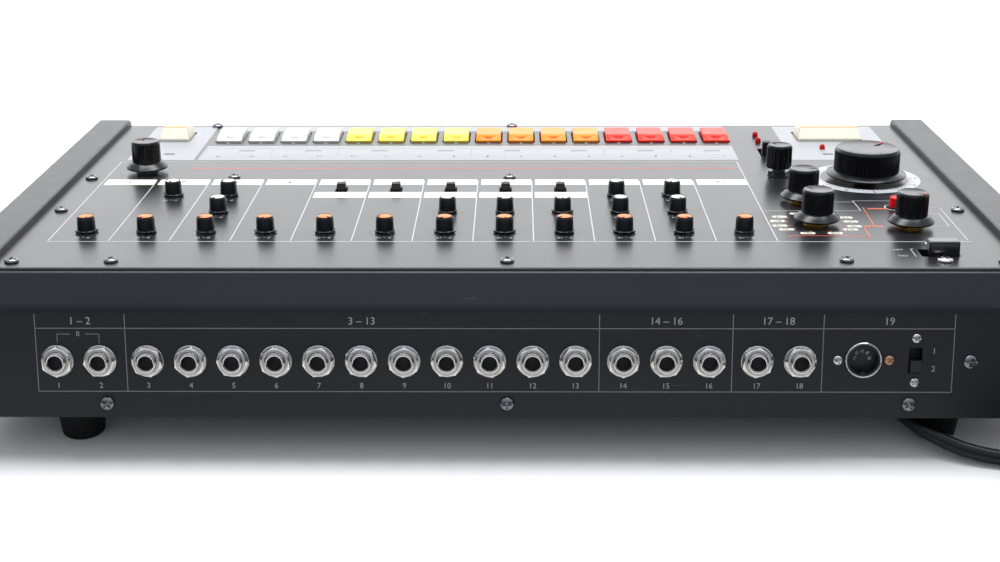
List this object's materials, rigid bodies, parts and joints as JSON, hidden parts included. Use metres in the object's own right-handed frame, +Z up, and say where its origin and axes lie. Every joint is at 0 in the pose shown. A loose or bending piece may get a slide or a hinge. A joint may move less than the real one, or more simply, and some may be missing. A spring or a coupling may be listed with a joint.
{
  "type": "drum machine",
  "caption": "Table-top drum machine with a sloping panel of knobs, coloured step keys and a tempo dial, rear sockets, and a mains lead.",
  "frame": {"origin": "centre of the case and cheeks' footprint, on the surface that the feet stand on", "axes": "+X to the right of the user at the front, +Y towards the rear sockets, +Z up; the user is on the -Y side"},
  "size_m": [0.577, 0.4625, 0.0933],
  "materials": {
    "tray_paint": "satin black paint",
    "case_paint": "semi-gloss black paint",
    "panel_paint": "semi-gloss black paint with printed lines",
    "cheek_plastic": "fine-grained black",
    "foot_rubber": "matte black",
    "screw_steel": "blackened steel",
    "jack_metal": "nickel plated bush on a plastic body",
    "nut_chrome": "nickel plated",
    "din_metal": "nickel plated shell",
    "control_metal": "plated brass bush and nut",
    "switch_plastic": "black",
    "lamp_red": "clear red",
    "board_green": "solder mask",
    "transformer_iron": "varnished laminations",
    "small_knob_plastic": "satin black with a coloured cap",
    "knob_plastic": "satin black",
    "key_red": "satin red",
    "key_orange": "satin orange",
    "key_yellow": "satin yellow",
    "key_white": "satin white",
    "button_cream": "aged cream",
    "button_red": "satin red",
    "lever_plastic": "black",
    "cord_rubber": "black sheath",
    "plug_plastic": "moulded black"
  },
  "bodies": {
    "case": {"bottom_tray": "tray_paint", "rear_panel": "case_paint", "top_panel": "panel_paint", "left_cheek": "cheek_plastic", "right_cheek": "cheek_plastic", "rubber_feet": "foot_rubber", "case_screws": "screw_steel", "jack_sockets": "jack_metal", "jack_nuts": "nut_chrome", "din_socket": "din_metal", "potentiometers": "control_metal", "panel_switches": "switch_plastic", "indicator_lamps": "lamp_red", "circuit_boards": "board_green", "mains_transformer": "transformer_iron", "tone_knobs": "small_knob_plastic", "slide_levers": "lever_plastic", "cord_grip": "cord_rubber", "power_cord": "cord_rubber", "cord_coil": "cord_rubber", "power_plug": "plug_plastic"},
    "level_knob_01": {"level_knob_01": "small_knob_plastic"},
    "level_knob_02": {"level_knob_02": "small_knob_plastic"},
    "level_knob_03": {"level_knob_03": "small_knob_plastic"},
    "level_knob_04": {"level_knob_04": "small_knob_plastic"},
    "level_knob_05": {"level_knob_05": "small_knob_plastic"},
    "level_knob_06": {"level_knob_06": "small_knob_plastic"},
    "level_knob_07": {"level_knob_07": "small_knob_plastic"},
    "level_knob_08": {"level_knob_08": "small_knob_plastic"},
    "level_knob_09": {"level_knob_09": "small_knob_plastic"},
    "level_knob_10": {"level_knob_10": "small_knob_plastic"},
    "level_knob_11": {"level_knob_11": "small_knob_plastic"},
    "level_knob_12": {"level_knob_12": "small_knob_plastic"},
    "volume_knob": {"volume_knob": "knob_plastic"},
    "mode_knob": {"mode_knob": "knob_plastic"},
    "instrument_knob": {"instrument_knob": "knob_plastic"},
    "fill_knob": {"fill_knob": "knob_plastic"},
    "tempo_dial": {"tempo_dial": "knob_plastic"},
    "fine_tempo_knob": {"fine_tempo_knob": "knob_plastic"},
    "step_key_01": {"step_key_01": "key_red"},
    "step_key_02": {"step_key_02": "key_red"},
    "step_key_03": {"step_key_03": "key_red"},
    "step_key_04": {"step_key_04": "key_red"},
    "step_key_05": {"step_key_05": "key_orange"},
    "step_key_06": {"step_key_06": "key_orange"},
    "step_key_07": {"step_key_07": "key_orange"},
    "step_key_08": {"step_key_08": "key_orange"},
    "step_key_09": {"step_key_09": "key_yellow"},
    "step_key_10": {"step_key_10": "key_yellow"},
    "step_key_11": {"step_key_11": "key_yellow"},
    "step_key_12": {"step_key_12": "key_yellow"},
    "step_key_13": {"step_key_13": "key_white"},
    "step_key_14": {"step_key_14": "key_white"},
    "step_key_15": {"step_key_15": "key_white"},
    "step_key_16": {"step_key_16": "key_white"},
    "start_button": {"start_button": "button_cream"},
    "tap_button": {"tap_button": "button_cream"},
    "clear_button": {"clear_button": "button_red"},
    "power_lever": {"power_lever": "lever_plastic"},
    "sync_lever": {"sync_lever": "lever_plastic"}
  },
  "joints": [
    {"name": "level_knob_01_turn", "type": "hinge", "parent": "case", "child": "level_knob_01", "pos_m": [0.2044, 0.07396, 0.07591], "axis": [0, -0.1219, 0.9925], "range_deg": [-170, 130]},
    {"name": "level_knob_02_turn", "type": "hinge", "parent": "case", "child": "level_knob_02", "pos_m": [0.17542, 0.07396, 0.07591], "axis": [0, -0.1219, 0.9925], "range_deg": [-115, 185]},
    {"name": "level_knob_03_turn", "type": "hinge", "parent": "case", "child": "level_knob_03", "pos_m": [0.14644, 0.07396, 0.07591], "axis": [0, -0.1219, 0.9925], "range_deg": [-90, 210]},
    {"name": "level_knob_04_turn", "type": "hinge", "parent": "case", "child": "level_knob_04", "pos_m": [0.11746, 0.07396, 0.07591], "axis": [0, -0.1219, 0.9925], "range_deg": [-140, 160]},
    {"name": "level_knob_05_turn", "type": "hinge", "parent": "case", "child": "level_knob_05", "pos_m": [0.08848, 0.07396, 0.07591], "axis": [0, -0.1219, 0.9925], "range_deg": [-195, 105]},
    {"name": "level_knob_06_turn", "type": "hinge", "parent": "case", "child": "level_knob_06", "pos_m": [0.0595, 0.07396, 0.07591], "axis": [0, -0.1219, 0.9925], "range_deg": [-70, 230]},
    {"name": "level_knob_07_turn", "type": "hinge", "parent": "case", "child": "level_knob_07", "pos_m": [0.03052, 0.07396, 0.07591], "axis": [0, -0.1219, 0.9925], "range_deg": [-125, 175]},
    {"name": "level_knob_08_turn", "type": "hinge", "parent": "case", "child": "level_knob_08", "pos_m": [0.00154, 0.07396, 0.07591], "axis": [0, -0.1219, 0.9925], "range_deg": [-160, 140]},
    {"name": "level_knob_09_turn", "type": "hinge", "parent": "case", "child": "level_knob_09", "pos_m": [-0.02744, 0.07396, 0.07591], "axis": [0, -0.1219, 0.9925], "range_deg": [-100, 200]},
    {"name": "level_knob_10_turn", "type": "hinge", "parent": "case", "child": "level_knob_10", "pos_m": [-0.05642, 0.07396, 0.07591], "axis": [0, -0.1219, 0.9925], "range_deg": [-135, 165]},
    {"name": "level_knob_11_turn", "type": "hinge", "parent": "case", "child": "level_knob_11", "pos_m": [-0.0854, 0.07396, 0.07591], "axis": [0, -0.1219, 0.9925], "range_deg": [-180, 120]},
    {"name": "level_knob_12_turn", "type": "hinge", "parent": "case", "child": "level_knob_12", "pos_m": [-0.11438, 0.07396, 0.07591], "axis": [0, -0.1219, 0.9925], "range_deg": [-80, 220]},
    {"name": "volume_knob_turn", "type": "hinge", "parent": "case", "child": "volume_knob", "pos_m": [0.1996, -0.0376, 0.06221], "axis": [0, -0.1219, 0.9925], "range_deg": [0, 300]},
    {"name": "mode_knob_turn", "type": "hinge", "parent": "case", "child": "mode_knob", "pos_m": [-0.1966, 0.06522, 0.07484], "axis": [0, -0.1219, 0.9925], "range_deg": [-125, 25]},
    {"name": "instrument_knob_turn", "type": "hinge", "parent": "case", "child": "instrument_knob", "pos_m": [-0.1518, 0.06016, 0.07422], "axis": [0, -0.1219, 0.9925], "range_deg": [-35, 295]},
    {"name": "fill_knob_turn", "type": "hinge", "parent": "case", "child": "fill_knob", "pos_m": [-0.1515, 0.02086, 0.06939], "axis": [0, -0.1219, 0.9925], "range_deg": [-150, 0]},
    {"name": "tempo_dial_turn", "type": "hinge", "parent": "case", "child": "tempo_dial", "pos_m": [-0.193, -0.02212, 0.06412], "axis": [0, -0.1219, 0.9925], "range_deg": [-275, 5]},
    {"name": "fine_tempo_knob_turn", "type": "hinge", "parent": "case", "child": "fine_tempo_knob", "pos_m": [-0.1473, -0.03076, 0.06305], "axis": [0, -0.1219, 0.9925], "range_deg": [-5, 285]},
    {"name": "step_key_01_press", "type": "slide", "parent": "case", "child": "step_key_01", "axis": [0, 0.1219, -0.9925], "range_m": [0, 0.0025], "stiffness_N_per_m": 250, "springref_m": -0.001},
    {"name": "step_key_02_press", "type": "slide", "parent": "case", "child": "step_key_02", "axis": [0, 0.1219, -0.9925], "range_m": [0, 0.0025], "stiffness_N_per_m": 250, "springref_m": -0.001},
    {"name": "step_key_03_press", "type": "slide", "parent": "case", "child": "step_key_03", "axis": [0, 0.1219, -0.9925], "range_m": [0, 0.0025], "stiffness_N_per_m": 250, "springref_m": -0.001},
    {"name": "step_key_04_press", "type": "slide", "parent": "case", "child": "step_key_04", "axis": [0, 0.1219, -0.9925], "range_m": [0, 0.0025], "stiffness_N_per_m": 250, "springref_m": -0.001},
    {"name": "step_key_05_press", "type": "slide", "parent": "case", "child": "step_key_05", "axis": [0, 0.1219, -0.9925], "range_m": [0, 0.0025], "stiffness_N_per_m": 250, "springref_m": -0.001},
    {"name": "step_key_06_press", "type": "slide", "parent": "case", "child": "step_key_06", "axis": [0, 0.1219, -0.9925], "range_m": [0, 0.0025], "stiffness_N_per_m": 250, "springref_m": -0.001},
    {"name": "step_key_07_press", "type": "slide", "parent": "case", "child": "step_key_07", "axis": [0, 0.1219, -0.9925], "range_m": [0, 0.0025], "stiffness_N_per_m": 250, "springref_m": -0.001},
    {"name": "step_key_08_press", "type": "slide", "parent": "case", "child": "step_key_08", "axis": [0, 0.1219, -0.9925], "range_m": [0, 0.0025], "stiffness_N_per_m": 250, "springref_m": -0.001},
    {"name": "step_key_09_press", "type": "slide", "parent": "case", "child": "step_key_09", "axis": [0, 0.1219, -0.9925], "range_m": [0, 0.0025], "stiffness_N_per_m": 250, "springref_m": -0.001},
    {"name": "step_key_10_press", "type": "slide", "parent": "case", "child": "step_key_10", "axis": [0, 0.1219, -0.9925], "range_m": [0, 0.0025], "stiffness_N_per_m": 250, "springref_m": -0.001},
    {"name": "step_key_11_press", "type": "slide", "parent": "case", "child": "step_key_11", "axis": [0, 0.1219, -0.9925], "range_m": [0, 0.0025], "stiffness_N_per_m": 250, "springref_m": -0.001},
    {"name": "step_key_12_press", "type": "slide", "parent": "case", "child": "step_key_12", "axis": [0, 0.1219, -0.9925], "range_m": [0, 0.0025], "stiffness_N_per_m": 250, "springref_m": -0.001},
    {"name": "step_key_13_press", "type": "slide", "parent": "case", "child": "step_key_13", "axis": [0, 0.1219, -0.9925], "range_m": [0, 0.0025], "stiffness_N_per_m": 250, "springref_m": -0.001},
    {"name": "step_key_14_press", "type": "slide", "parent": "case", "child": "step_key_14", "axis": [0, 0.1219, -0.9925], "range_m": [0, 0.0025], "stiffness_N_per_m": 250, "springref_m": -0.001},
    {"name": "step_key_15_press", "type": "slide", "parent": "case", "child": "step_key_15", "axis": [0, 0.1219, -0.9925], "range_m": [0, 0.0025], "stiffness_N_per_m": 250, "springref_m": -0.001},
    {"name": "step_key_16_press", "type": "slide", "parent": "case", "child": "step_key_16", "axis": [0, 0.1219, -0.9925], "range_m": [0, 0.0025], "stiffness_N_per_m": 250, "springref_m": -0.001},
    {"name": "start_button_press", "type": "slide", "parent": "case", "child": "start_button", "axis": [0, 0.1219, -0.9925], "range_m": [0, 0.0025], "stiffness_N_per_m": 350, "springref_m": -0.001},
    {"name": "tap_button_press", "type": "slide", "parent": "case", "child": "tap_button", "axis": [0, 0.1219, -0.9925], "range_m": [0, 0.0025], "stiffness_N_per_m": 300, "springref_m": -0.001},
    {"name": "clear_button_press", "type": "slide", "parent": "case", "child": "clear_button", "axis": [0, 0.1219, -0.9925], "range_m": [0, 0.0015], "stiffness_N_per_m": 250, "springref_m": -0.001},
    {"name": "power_lever_slide", "type": "slide", "parent": "case", "child": "power_lever", "axis": [0, -0.9925, -0.1219], "range_m": [0, 0.0036]},
    {"name": "sync_lever_slide", "type": "slide", "parent": "case", "child": "sync_lever", "axis": [0, -0.2334, 0.9724], "range_m": [0, 0.005]}
  ]
}
